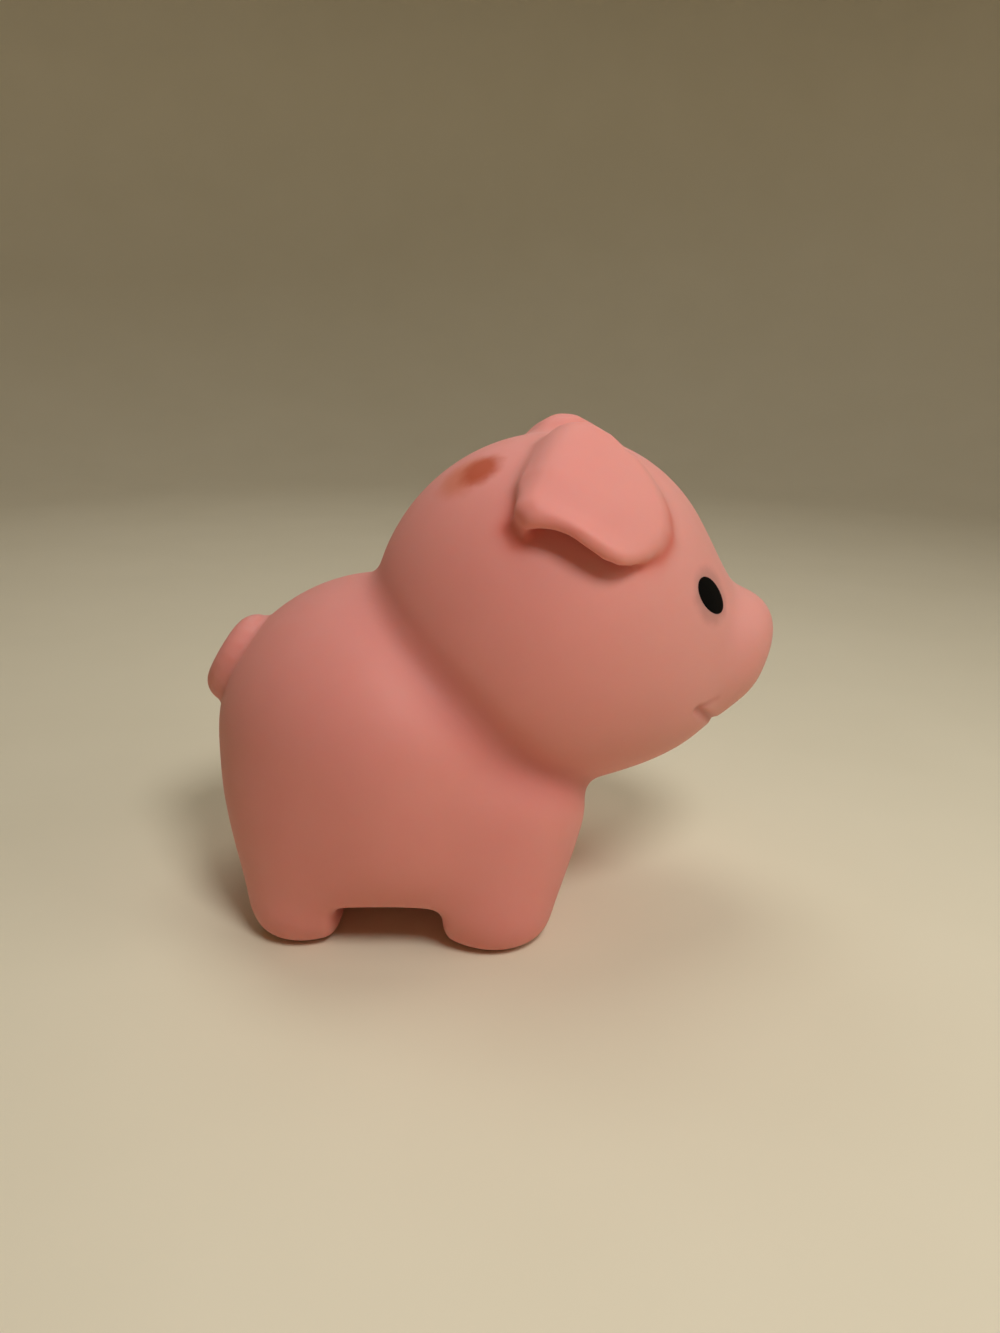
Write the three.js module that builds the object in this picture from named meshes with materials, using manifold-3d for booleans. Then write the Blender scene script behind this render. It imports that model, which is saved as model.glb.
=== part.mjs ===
// A soft vinyl pig bath toy: one hollow moulded skin with ears, curly tail and four stub legs,
// two painted eyes, and a small reed squeaker pressed into the belly.
// Millimetres, +X towards the snout, +Y towards the left ear, +Z up, the soles at Z = 0.
import * as THREE from "three";
import { mergeVertices } from "three/addons/utils/BufferGeometryUtils.js";
import Module from "manifold-3d";

// Trunk: a barrel of two blended ellipsoids, standing on four short legs.
const BODY_LENGTH = 57;
const BODY_WIDTH = 58;
const BODY_HEIGHT = 50;
const BODY_CLEARANCE = 4.8;
const BODY_CENTRE = new THREE.Vector3(-15.7, 0, BODY_CLEARANCE + BODY_HEIGHT / 2);
const BELLY_CENTRE = new THREE.Vector3(-14.6, 0, 16);
const BELLY_LENGTH = 51.8;
const BELLY_WIDTH = 52;
const BELLY_HEIGHT = 34;
const BELLY_BLEND = 10;
const LEG_BLEND = 9;
const HIND_HIP = new THREE.Vector3(-26.4, 12, 20);
const HIND_HIP_RADIUS = 10;
const HIND_FOOT = new THREE.Vector3(-29.1, 16, 5.6);
const HIND_FOOT_RADIUS = 7.8;
const FORE_SHOULDER = new THREE.Vector3(3.8, 10.8, 19.8);
const FORE_SHOULDER_RADIUS = 11.5;
const FORE_FOOT = new THREE.Vector3(2, 15.5, 6.2);
const FORE_FOOT_RADIUS = 9.5;
const SOLE_ROUNDING = 3;
const SOLE_TRIM = 0.4;

// Gaps that part the legs: a square one from side to side and an arch from front to back.
const SIDE_GAP_X = -14.4;
const SIDE_GAP_LENGTH = 16.7;
const SIDE_GAP_HEIGHT = 8;
const SIDE_GAP_CORNER = 1.5;
const ARCH_WIDTH = 13;
const ARCH_HEIGHT = 7;

// Head: a leaning ellipsoid with a short snout that ends in a blunt nose, sunk into the trunk. The
// crease between them is drawn in at the sides and runs out over the nape and under the chin.
const HEAD_AHEAD = 24.6;
const HEAD_RISE = 0.386 * BODY_HEIGHT;
const HEAD_CENTRE = new THREE.Vector3(BODY_CENTRE.x + HEAD_AHEAD, 0, BODY_CENTRE.z + HEAD_RISE);
const HEAD_LENGTH = 54.6;
const HEAD_WIDTH = 51;
const HEAD_HEIGHT = 58;
const HEAD_LEAN_DEG = -29.6;
const NECK_BLEND = 3;
const NECK_PINCH = 1;
const NECK_PINCH_WIDTH = 4;
const CHIN_FADE_BEHIND = 4.3;
const CHIN_FADE_AHEAD = 7.7;
const NAPE_FADE = 9;
const SNOUT_RISE_DEG = -21.4;
const SNOUT_SINK = 11.4;
const SNOUT_ROOT_RADIUS = 16.3;
const SNOUT_LIFT_DEG = 3;
const SNOUT_LENGTH = 10.7;
const SNOUT_TIP_RADIUS = 10.4;
const SNOUT_BLEND = 7.4;
const NOSE_REACH = 3.3;
const NOSE_RISE_DEG = -35.7;
const NOSE_FLAT_RADIUS = 5.75;
const NOSE_ROUNDING = 3.85;
const NOSE_BLEND = 4;
const NOSTRIL_WIDTH = 2.2;
const NOSTRIL_HEIGHT = 3.2;
const NOSTRIL_DEPTH = 1.2;
const NOSTRIL_TURN_DEG = 17;
const NOSTRIL_RISE_DEG = -12;
const MOUTH_RADIUS = 0.8;
const MOUTH_HALF_TURN_DEG = 32;
const MOUTH_CORNER_RISE_DEG = -21;
const MOUTH_DIP_DEG = 9;

// Ears: thick round-edged flaps that droop outwards, rooted along their upper and rear edges. The rear
// edge rolls down onto the head and the lower rim stands off it, over a pocket.
const EAR_TURN_DEG = 71.7;
const EAR_RISE_DEG = 50;
const EAR_STAND = 1.3;
const EAR_FACE_TURN_DEG = 58.6;
const EAR_FACE_RISE_DEG = 46.2;
const EAR_SPIN_DEG = 76.3;
const EAR_THICKNESS = 4.8;
const EAR_BEND_ALONG = 0.0125;
const EAR_BEND_ACROSS = 0.008;
const EAR_ROOT_DEPTH = 8;
const EAR_RIM_LIFT = 0.014;
const EAR_RIM_REACH = 8;
const EAR_RIM_LIFT_START = 5;
const EAR_RIM_LIFT_END = 12;
const EAR_REAR_ROLL = 0.045;
const EAR_REAR_REACH = 5;
const EAR_UPPER_EDGE = [
  [-10.7, -3.4], [-11.2, -5.6], [-9.8, -7.9], [-6, -8.9], [-2.6, -8.9], [2.7, -8.2], [7.4, -6.5], [9.9, -3],
];
const EAR_LOWER_RIM = [[8.4, 2.1], [-1.9, 8.9]];
const EAR_ROOT_EDGE = [[3.9, -2.6], [-4.6, 4.2], [-2.6, 7.2], [-3.2, 7.2]];

// Tail: a fat curl of a little over one turn, lying on the rump.
const TAIL_RISE_DEG = 22.6;
const TAIL_LEAN_DEG = 28;
const TAIL_STAND = -1.7;
const TAIL_RADIUS = 3.7;
const TAIL_COIL_RADIUS = 4.2;
const TAIL_TURNS = 1.2;
const TAIL_LIFT = 1.2;

// Eyes: leaning oval paint films laid in shallow moulded seats.
const EYE_TURN_DEG = 27.1;
const EYE_RISE_DEG = 13.9;
const EYE_LEAN_DEG = 40;
const EYE_WIDTH = 8;
const EYE_HEIGHT = 5.5;
const EYE_SEAT_DEPTH = 0.75;
const EYE_FILM_THICKNESS = 0.4;
const EYE_FILM_PROUD = 0.05;

// Skin thickness, and the clearance kept between pieces that sit together.
const WALL = 2.4;
const CLEARANCE = 0.3;

// Squeaker: a flanged plastic barrel with a reed held on a trough by a wedge.
const HOLE_RADIUS = 5.2;
const FLANGE_OVERLAP = 1.2;
const FLANGE_THICKNESS = 1.2;
const BARB_OVERLAP = 1;
const BARB_HEIGHT = 1.6;
const BARREL_HEIGHT = 9;
const BARREL_WALL = 1.4;
const TROUGH_LENGTH = 11.5;
const TROUGH_GROOVE_WIDTH = 2;
const TROUGH_GROOVE_DEPTH = 1.3;
const TROUGH_CLOSED_END = 1.6;
const REED_THICKNESS = 0.3;
const REED_WIDTH = 3.2;
const REED_LENGTH = 10;
const WEDGE_LENGTH = 3;

// Mesh fineness, as splits of a sphere's faces and sides of a round.
const SKIN_SPLITS = 16;
const HOLLOW_SPLITS = 6;
const EAR_SPLITS = 5;
const ROUND_SIDES = 24;

// Colours.
const VINYL_COLOUR = 0xdf9381;
const EYE_COLOUR = 0x0c0a0a;
const SQUEAKER_COLOUR = 0xe9e4d8;
const REED_COLOUR = 0xd8dde0;

const wasm = await Module();
wasm.setup();

const half = (length, width, height) => new THREE.Vector3(length, width, height).multiplyScalar(0.5);
const flatPoints = (pairs) => pairs.map(([x, y]) => new THREE.Vector2(x, y));
const rad = THREE.MathUtils.degToRad;

// A unit vector turned from +X towards +Y, and raised.
function heading(turnDeg, riseDeg) {
  return new THREE.Vector3(1, 0, 0).applyEuler(new THREE.Euler(0, -rad(riseDeg), rad(turnDeg), "ZYX"));
}

// Distance-like fields of the form: negative inside, zero on the surface.
function smoothMin(a, b, blend) {
  const h = Math.max(blend - Math.abs(a - b), 0) / blend;
  return Math.min(a, b) - h * h * blend / 4;
}

const smoothMax = (a, b, blend) => -smoothMin(-a, -b, blend);

function ellipsoid(p, centre, radii, leanDeg = 0) {
  const q = p.clone().sub(centre).applyAxisAngle(new THREE.Vector3(0, 1, 0), rad(leanDeg));
  const near = q.clone().divide(radii);
  const slope = near.clone().divide(radii).length();
  return near.length() * (near.length() - 1) / Math.max(slope, 1e-9);
}

// A ball at each end, with the cone that touches both between them.
function roundCone(p, a, b, radiusA, radiusB) {
  const axis = b.clone().sub(a);
  const length = axis.length();
  axis.divideScalar(length);
  const q = p.clone().sub(a);
  const along = q.dot(axis);
  const across = Math.sqrt(Math.max(q.lengthSq() - along * along, 0));
  const sine = (radiusA - radiusB) / length;
  const cosine = Math.sqrt(1 - sine * sine);
  const foot = along * cosine - across * sine;
  if (foot < 0) return Math.hypot(along, across) - radiusA;
  if (foot > length * cosine) return Math.hypot(along - length, across) - radiusB;
  return across * cosine + along * sine - radiusA;
}

const LEGS = [
  { top: HIND_HIP, topRadius: HIND_HIP_RADIUS, foot: HIND_FOOT, footRadius: HIND_FOOT_RADIUS },
  { top: FORE_SHOULDER, topRadius: FORE_SHOULDER_RADIUS, foot: FORE_FOOT, footRadius: FORE_FOOT_RADIUS },
];
const BODY_RADII = half(BODY_LENGTH, BODY_WIDTH, BODY_HEIGHT);
const BELLY_RADII = half(BELLY_LENGTH, BELLY_WIDTH, BELLY_HEIGHT);
const HEAD_RADII = half(HEAD_LENGTH, HEAD_WIDTH, HEAD_HEIGHT);

function trunkField(p) {
  const side = new THREE.Vector3(p.x, Math.abs(p.y), p.z);
  const body = ellipsoid(side, BODY_CENTRE, BODY_RADII);
  const belly = ellipsoid(side, BELLY_CENTRE, BELLY_RADII);
  let field = smoothMin(body, belly, BELLY_BLEND);
  for (const leg of LEGS) {
    const limb = roundCone(side, leg.top, leg.foot, leg.topRadius, leg.footRadius);
    field = smoothMin(field, limb, LEG_BLEND);
  }
  return smoothMax(field, -SOLE_TRIM - p.z, SOLE_ROUNDING);
}

// A disc with a round edge, facing along an axis.
function roundDisc(p, centre, axis, radius, rounding) {
  const q = p.clone().sub(centre);
  const along = q.dot(axis);
  const across = q.addScaledVector(axis, -along).length();
  return Math.hypot(Math.max(across - radius, 0), along) - rounding;
}

const skullField = (p) => ellipsoid(p, HEAD_CENTRE, HEAD_RADII, HEAD_LEAN_DEG);
const SNOUT_SEAT = heading(0, SNOUT_RISE_DEG);
const SNOUT_AXIS = heading(0, SNOUT_LIFT_DEG);
const NOSE_AXIS = heading(0, NOSE_RISE_DEG);
const SNOUT_BASE = surfacePoint(skullField, HEAD_CENTRE, SNOUT_SEAT);
const SNOUT_ROOT = SNOUT_BASE.clone().addScaledVector(SNOUT_SEAT, -SNOUT_SINK);
const SNOUT_TIP = SNOUT_ROOT.clone().addScaledVector(SNOUT_AXIS, SNOUT_LENGTH);
const NOSE_CENTRE = SNOUT_TIP.clone().addScaledVector(SNOUT_AXIS, NOSE_REACH);

function headField(p) {
  const snout = roundCone(p, SNOUT_ROOT, SNOUT_TIP, SNOUT_ROOT_RADIUS, SNOUT_TIP_RADIUS);
  const nose = roundDisc(p, NOSE_CENTRE, NOSE_AXIS, NOSE_FLAT_RADIUS, NOSE_ROUNDING);
  return smoothMin(smoothMin(skullField(p), snout, SNOUT_BLEND), nose, NOSE_BLEND);
}

// Trunk and head with the crease between them, which fades as chin and nape grow from 0 to 1.
function skinField(p) {
  const trunk = trunkField(p);
  const head = headField(p);
  const chin = THREE.MathUtils.smoothstep(p.x - HEAD_CENTRE.x, -CHIN_FADE_BEHIND, CHIN_FADE_AHEAD);
  const nape = THREE.MathUtils.smoothstep(p.z - HEAD_CENTRE.z, -NAPE_FADE, NAPE_FADE);
  const pinch = NECK_PINCH * Math.exp(-(((trunk - head) / NECK_PINCH_WIDTH) ** 2));
  return smoothMin(trunk, head, NECK_BLEND) + pinch * (1 - chin) * (1 - nape);
}

// The hollow keeps the wall all round, and ends in a flat floor above the solid legs.
const FLOOR_Z = SIDE_GAP_HEIGHT + WALL;
const hollowField = (p) => smoothMax(skinField(p) + WALL, FLOOR_Z - p.z, WALL / 2);

// How far from an inside point, along a direction, a field's surface lies.
function reach(field, from, direction, level = 0) {
  let low = 0;
  let high = BODY_LENGTH + HEAD_LENGTH;
  for (let step = 0; step < 40; step += 1) {
    const middle = (low + high) / 2;
    if (field(from.clone().addScaledVector(direction, middle)) < level) low = middle;
    else high = middle;
  }
  return low;
}

function surfacePoint(field, from, direction, level = 0) {
  return from.clone().addScaledVector(direction, reach(field, from, direction, level));
}

function surfaceNormal(field, p) {
  const step = 0.05;
  const slope = (axis) => {
    const ahead = field(p.clone().addScaledVector(axis, step));
    return ahead - field(p.clone().addScaledVector(axis, -step));
  };
  const axes = [new THREE.Vector3(1, 0, 0), new THREE.Vector3(0, 1, 0), new THREE.Vector3(0, 0, 1)];
  return new THREE.Vector3(...axes.map(slope)).normalize();
}

// A geometry with shared corners joined and empty triangles dropped, ready to cut.
function closed(geometry) {
  const bare = geometry.clone();
  for (const name of ["normal", "uv"]) bare.deleteAttribute(name);
  const joined = mergeVertices(bare, 1e-4);
  const kept = [];
  const index = joined.index.array;
  for (let i = 0; i < index.length; i += 3) {
    const [a, b, c] = index.slice(i, i + 3);
    if (a !== b && b !== c && c !== a) kept.push(a, b, c);
  }
  joined.setIndex(kept);
  return joined;
}

function solid(geometry) {
  const shape = closed(geometry);
  const vertProperties = Float32Array.from(shape.attributes.position.array);
  const triVerts = Uint32Array.from(shape.index.array);
  return new wasm.Manifold(new wasm.Mesh({ numProp: 3, vertProperties, triVerts }));
}

function shapeOf(body) {
  const { vertProperties, triVerts } = body.getMesh();
  const geometry = new THREE.BufferGeometry();
  geometry.setAttribute("position", new THREE.BufferAttribute(Float32Array.from(vertProperties), 3));
  geometry.setIndex(new THREE.BufferAttribute(Uint32Array.from(triVerts), 1));
  geometry.computeVertexNormals();
  return geometry;
}

// Moves every corner of a geometry to where a function sends it.
function bend(geometry, move) {
  const position = geometry.attributes.position;
  for (let i = 0; i < position.count; i += 1) {
    const p = move(new THREE.Vector3().fromBufferAttribute(position, i));
    position.setXYZ(i, p.x, p.y, p.z);
  }
  return geometry;
}

// A finely split ball, drawn out onto a field's surface from a line that runs inside it.
function wrapped(field, [start, end], splits) {
  const ball = closed(new THREE.IcosahedronGeometry(1, splits));
  const line = end.clone().sub(start);
  const along = line.clone().normalize();
  return bend(ball, (p) => {
    const direction = p.normalize();
    const from = start.clone().addScaledVector(line, (1 + direction.dot(along)) / 2);
    return surfacePoint(field, from, direction);
  });
}

function roundTube(points, radius, steps, sides) {
  const section = new THREE.Shape();
  section.absarc(0, 0, radius, 0, Math.PI * 2);
  const extrudePath = new THREE.CatmullRomCurve3(points);
  const options = { extrudePath, steps, curveSegments: sides, bevelEnabled: false };
  return new THREE.ExtrudeGeometry(section, options);
}

// Skin: the blended trunk and head, drawn out from a line between the trunk's middle and the snout.
const SPINE = [BODY_CENTRE, SNOUT_ROOT];

// A long bar of one section, lying along Y and centred on the toy.
function bar(section) {
  const depth = BODY_WIDTH * 2;
  const length = new THREE.ExtrudeGeometry(section, { depth, curveSegments: 12, bevelEnabled: false });
  return length.translate(0, 0, -depth / 2).rotateX(Math.PI / 2);
}

function legGaps() {
  const corner = SIDE_GAP_CORNER;
  const cornerX = SIDE_GAP_LENGTH / 2 - corner;
  const cornerZ = SIDE_GAP_HEIGHT - corner;
  const square = new THREE.Shape();
  square.moveTo(-SIDE_GAP_LENGTH / 2, -SIDE_GAP_HEIGHT);
  square.lineTo(SIDE_GAP_LENGTH / 2, -SIDE_GAP_HEIGHT);
  square.absarc(cornerX, cornerZ, corner, 0, Math.PI / 2);
  square.absarc(-cornerX, cornerZ, corner, Math.PI / 2, Math.PI);
  square.closePath();
  const round = new THREE.Shape();
  round.absellipse(0, 0, ARCH_WIDTH / 2, ARCH_HEIGHT, 0, Math.PI * 2);
  const across = bar(square).translate(SIDE_GAP_X, 0, 0);
  const along = bar(round).rotateZ(Math.PI / 2);
  return solid(across).add(solid(along));
}

function underSoles() {
  const depth = SIDE_GAP_HEIGHT;
  const slab = new THREE.BoxGeometry(BODY_LENGTH * 3, BODY_WIDTH * 2, depth);
  return solid(slab.translate(0, 0, -depth / 2));
}

// The left ear's own axes: along the flap, across it towards the free edge, and out of its face.
const EAR_OUT = heading(EAR_FACE_TURN_DEG, EAR_FACE_RISE_DEG);
const EAR_LEVEL = new THREE.Vector3(0, 0, 1).cross(EAR_OUT).normalize().negate();
const EAR_ALONG = EAR_LEVEL.clone().applyAxisAngle(EAR_OUT, rad(EAR_SPIN_DEG));
const EAR_ACROSS = EAR_OUT.clone().cross(EAR_ALONG);
const EAR_CENTRE = surfacePoint(headField, HEAD_CENTRE, heading(EAR_TURN_DEG, EAR_RISE_DEG), EAR_STAND);

// How far a point lies along an edge of the flap, and how far inside it.
function fromEdge([ax, ay], [bx, by], p) {
  const length = Math.hypot(bx - ax, by - ay);
  const [stepX, stepY] = [(bx - ax) / length, (by - ay) / length];
  const along = (p.x - ax) * stepX + (p.y - ay) * stepY;
  const inside = (p.y - ay) * stepX - (p.x - ax) * stepY;
  return { along, inside };
}

// Sends a point given along, across and out of the flat flap to its place on the bent one.
function onEar(p) {
  const [rimStart, rimEnd] = EAR_LOWER_RIM;
  const rim = fromEdge(rimStart, rimEnd, p);
  const rear = fromEdge(rimEnd, EAR_UPPER_EDGE[0], p);
  const lifted = 1 - THREE.MathUtils.smoothstep(rim.along, EAR_RIM_LIFT_START, EAR_RIM_LIFT_END);
  const lift = EAR_RIM_LIFT * lifted * Math.max(EAR_RIM_REACH - rim.inside, 0) ** 2;
  const roll = EAR_REAR_ROLL * Math.max(EAR_REAR_REACH - rear.inside, 0) ** 2;
  const droop = EAR_BEND_ALONG * p.x * p.x + EAR_BEND_ACROSS * p.y * p.y + roll;
  const place = EAR_CENTRE.clone().addScaledVector(EAR_ALONG, p.x).addScaledVector(EAR_ACROSS, p.y);
  return place.addScaledVector(EAR_OUT, p.z - droop + lift);
}

const EAR_OUTLINE = [...EAR_UPPER_EDGE, ...EAR_LOWER_RIM];
const EAR_ROOT_OUTLINE = [...EAR_UPPER_EDGE, ...EAR_ROOT_EDGE];

function distanceToOutline(points, x, y) {
  let nearest = Infinity;
  let inside = false;
  points.forEach(([ax, ay], i) => {
    const [bx, by] = points[(i + 1) % points.length];
    const share = ((x - ax) * (bx - ax) + (y - ay) * (by - ay)) / ((bx - ax) ** 2 + (by - ay) ** 2);
    const t = Math.min(Math.max(share, 0), 1);
    nearest = Math.min(nearest, Math.hypot(x - ax - t * (bx - ax), y - ay - t * (by - ay)));
    if (ay > y !== by > y && x < ax + (y - ay) / (by - ay) * (bx - ax)) inside = !inside;
  });
  return inside ? -nearest : nearest;
}

function ear() {
  const edge = EAR_THICKNESS / 2;
  const middle = new THREE.Vector3();
  const squash = new THREE.Vector3(1, 1, edge / Math.max(...EAR_OUTLINE.flat()));
  const flapField = (p) => {
    const beyond = Math.max(distanceToOutline(EAR_OUTLINE, p.x, p.y), 0);
    return Math.hypot(beyond, p.z) - edge;
  };
  const ball = closed(new THREE.IcosahedronGeometry(1, EAR_SPLITS));
  const flap = bend(ball, (p) => surfacePoint(flapField, middle, p.multiply(squash).normalize()));
  const rootShape = new THREE.Shape(flatPoints(EAR_ROOT_OUTLINE));
  const root = new THREE.ExtrudeGeometry(rootShape, { depth: EAR_ROOT_DEPTH, bevelEnabled: false });
  root.translate(0, 0, -EAR_ROOT_DEPTH);
  return solid(bend(flap, onEar)).add(solid(bend(root, onEar)));
}

// The curl lies over its own root, so it is made in two lengths that are then joined.
function tail() {
  const anchor = surfacePoint(trunkField, BODY_CENTRE, heading(180, TAIL_RISE_DEG), TAIL_STAND);
  const out = heading(180, TAIL_LEAN_DEG);
  const side = new THREE.Vector3(0, 1, 0);
  const up = side.clone().cross(out);
  const onCurl = (share) => {
    const angle = -Math.PI / 2 + share * TAIL_TURNS * Math.PI * 2;
    const p = anchor.clone().addScaledVector(side, TAIL_COIL_RADIUS * Math.cos(angle));
    p.addScaledVector(up, TAIL_COIL_RADIUS * Math.sin(angle));
    return p.addScaledVector(out, share * TAIL_LIFT);
  };
  const ball = (share) => solid(new THREE.SphereGeometry(TAIL_RADIUS, 12, 8).translate(...onCurl(share)));
  const length = (start) => {
    const points = [0, 0.1, 0.2, 0.3, 0.4, 0.5].map((share) => onCurl(start + share));
    return solid(roundTube(points, TAIL_RADIUS, 14, 6));
  };
  return length(0).add(length(0.5)).add(ball(0)).add(ball(1));
}

function mouth() {
  const points = [];
  const count = 8;
  for (let i = 0; i <= count; i += 1) {
    const share = 2 * i / count - 1;
    const rise = MOUTH_CORNER_RISE_DEG - MOUTH_DIP_DEG * (1 - share * share);
    points.push(surfacePoint(skinField, HEAD_CENTRE, heading(share * MOUTH_HALF_TURN_DEG, rise)));
  }
  return solid(roundTube(points, MOUTH_RADIUS, 24, 4));
}

function nostril(side) {
  const place = surfacePoint(headField, SNOUT_TIP, heading(side * NOSTRIL_TURN_DEG, NOSTRIL_RISE_DEG));
  const dimple = new THREE.SphereGeometry(1, 12, 8);
  dimple.scale(NOSTRIL_DEPTH, NOSTRIL_WIDTH / 2, NOSTRIL_HEIGHT / 2);
  return solid(dimple.translate(...place));
}

// An oval plug that follows the face at one eye, between two heights over the skin.
function eyeDisc(side, margin, low, high) {
  const place = surfacePoint(skinField, HEAD_CENTRE, heading(side * EYE_TURN_DEG, EYE_RISE_DEG));
  const out = surfaceNormal(skinField, place);
  const level = new THREE.Vector3(0, 0, 1).cross(out).normalize();
  const wide = level.applyAxisAngle(out, rad(side * EYE_LEAN_DEG));
  const tall = out.clone().cross(wide);
  const inside = place.clone().addScaledVector(out, -SNOUT_TIP_RADIUS / 2);
  const rings = [0, 0.4, 0.75, 1];
  const bottom = rings.map((r) => new THREE.Vector2(r, low));
  const top = rings.map((r) => new THREE.Vector2(r, high)).reverse();
  const disc = new THREE.LatheGeometry([...bottom, ...top], ROUND_SIDES).rotateX(Math.PI / 2);
  return bend(disc, (p) => {
    const from = inside.clone().addScaledVector(wide, p.x * (EYE_WIDTH / 2 - margin));
    from.addScaledVector(tall, p.y * (EYE_HEIGHT / 2 - margin));
    return surfacePoint(skinField, from, out).addScaledVector(out, p.z);
  });
}

const eyeSeat = (side) => solid(eyeDisc(side, 0, -EYE_SEAT_DEPTH, EYE_SEAT_DEPTH));
const eyeFilm = (side) => eyeDisc(side, CLEARANCE, EYE_FILM_PROUD - EYE_FILM_THICKNESS, EYE_FILM_PROUD);

// A ring or plug of revolution about the squeaker's upright axis.
function revolved(profile) {
  return new THREE.LatheGeometry(flatPoints(profile), ROUND_SIDES).rotateX(Math.PI / 2);
}

function skin() {
  const hole = revolved([[0, 0], [HOLE_RADIUS, 0], [HOLE_RADIUS, FLOOR_Z + WALL], [0, FLOOR_Z + WALL]]);
  const leftEar = ear();
  const rightEar = leftEar.mirror([0, 1, 0]);
  let body = solid(wrapped(skinField, SPINE, SKIN_SPLITS)).add(leftEar).add(rightEar).add(tail());
  body = body.subtract(solid(wrapped(hollowField, SPINE, HOLLOW_SPLITS)));
  body = body.subtract(legGaps()).subtract(underSoles()).subtract(mouth());
  body = body.subtract(solid(hole.translate(SIDE_GAP_X, 0, 0)));
  for (const side of [-1, 1]) body = body.subtract(eyeSeat(side)).subtract(nostril(side));
  return shapeOf(body);
}

// Squeaker pieces, each on the upright axis through the belly's hole.
const NECK_RADIUS = HOLE_RADIUS - CLEARANCE;
const BARREL_BASE_Z = FLOOR_Z + CLEARANCE;
const BORE_RADIUS = NECK_RADIUS - BARREL_WALL;
const PLUG_RADIUS = BORE_RADIUS - CLEARANCE;
const REED_X = CLEARANCE;
const WEDGE_X = REED_X + REED_THICKNESS + CLEARANCE;
const PLUG_BASE_Z = SIDE_GAP_HEIGHT;

function housing() {
  const flangeTop = SIDE_GAP_HEIGHT - CLEARANCE;
  const flangeBottom = flangeTop - FLANGE_THICKNESS;
  const flangeRadius = HOLE_RADIUS + FLANGE_OVERLAP;
  const barbRadius = HOLE_RADIUS + BARB_OVERLAP;
  const barbTop = BARREL_BASE_Z + BARB_HEIGHT;
  const top = BARREL_BASE_Z + BARREL_HEIGHT;
  return revolved([
    [BORE_RADIUS, flangeBottom],
    [flangeRadius, flangeBottom],
    [flangeRadius, flangeTop],
    [NECK_RADIUS, flangeTop],
    [NECK_RADIUS, BARREL_BASE_Z],
    [barbRadius, BARREL_BASE_Z],
    [NECK_RADIUS, barbTop],
    [NECK_RADIUS, top],
    [BORE_RADIUS, top],
    [BORE_RADIUS, flangeBottom],
  ]);
}

// A round plug that fits the bore, cut back to one side of an upright plane.
function halfPlug(length, planeX, keepAhead) {
  const plug = revolved([[0, 0], [PLUG_RADIUS, 0], [PLUG_RADIUS, length], [0, length]]);
  const size = PLUG_RADIUS * 4;
  const cutter = new THREE.BoxGeometry(size, size, length * 3);
  cutter.translate(planeX + (keepAhead ? -size : size) / 2, 0, 0);
  return solid(plug).subtract(solid(cutter));
}

function trough() {
  const grooveLength = TROUGH_LENGTH - TROUGH_CLOSED_END;
  const groove = new THREE.BoxGeometry(TROUGH_GROOVE_DEPTH * 2, TROUGH_GROOVE_WIDTH, grooveLength * 2);
  return shapeOf(halfPlug(TROUGH_LENGTH, 0, false).subtract(solid(groove)));
}

function reed() {
  const strip = new THREE.BoxGeometry(REED_THICKNESS, REED_WIDTH, REED_LENGTH);
  return strip.translate(REED_X + REED_THICKNESS / 2, 0, REED_LENGTH / 2);
}

const wedge = () => shapeOf(halfPlug(WEDGE_LENGTH, WEDGE_X, true));

function material(color, roughness) {
  return new THREE.MeshStandardMaterial({ color, roughness, metalness: 0 });
}

const vinyl = material(VINYL_COLOUR, 0.55);
const eyePaint = material(EYE_COLOUR, 0.35);
const squeakerPlastic = material(SQUEAKER_COLOUR, 0.45);
const reedFilm = material(REED_COLOUR, 0.3);

const pig = new THREE.Group();

function place(name, geometry, surface, parent = pig) {
  const mesh = new THREE.Mesh(geometry, surface);
  mesh.name = name;
  parent.add(mesh);
  return mesh;
}

const shell = place("vinyl_shell", skin(), vinyl);
place("eye_paint_right", eyeFilm(-1), eyePaint);
place("eye_paint_left", eyeFilm(1), eyePaint);

const squeaker = new THREE.Group();
squeaker.position.x = SIDE_GAP_X;
pig.add(squeaker);
place("squeaker_housing", housing(), squeakerPlastic, squeaker);
const reedUnit = new THREE.Group();
reedUnit.position.z = PLUG_BASE_Z;
squeaker.add(reedUnit);
place("squeaker_trough", trough(), squeakerPlastic, reedUnit);
place("squeaker_reed", reed(), reedFilm, reedUnit);
place("squeaker_wedge", wedge(), squeakerPlastic, reedUnit);

// The origin is under the middle of the toy's length, on the plane of the soles.
shell.geometry.computeBoundingBox();
const middle = shell.geometry.boundingBox.getCenter(new THREE.Vector3());
pig.position.x = -middle.x;

export default pig;
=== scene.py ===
import math
from itertools import product

import bpy
import numpy as np
from mathutils import Matrix, Vector


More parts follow.
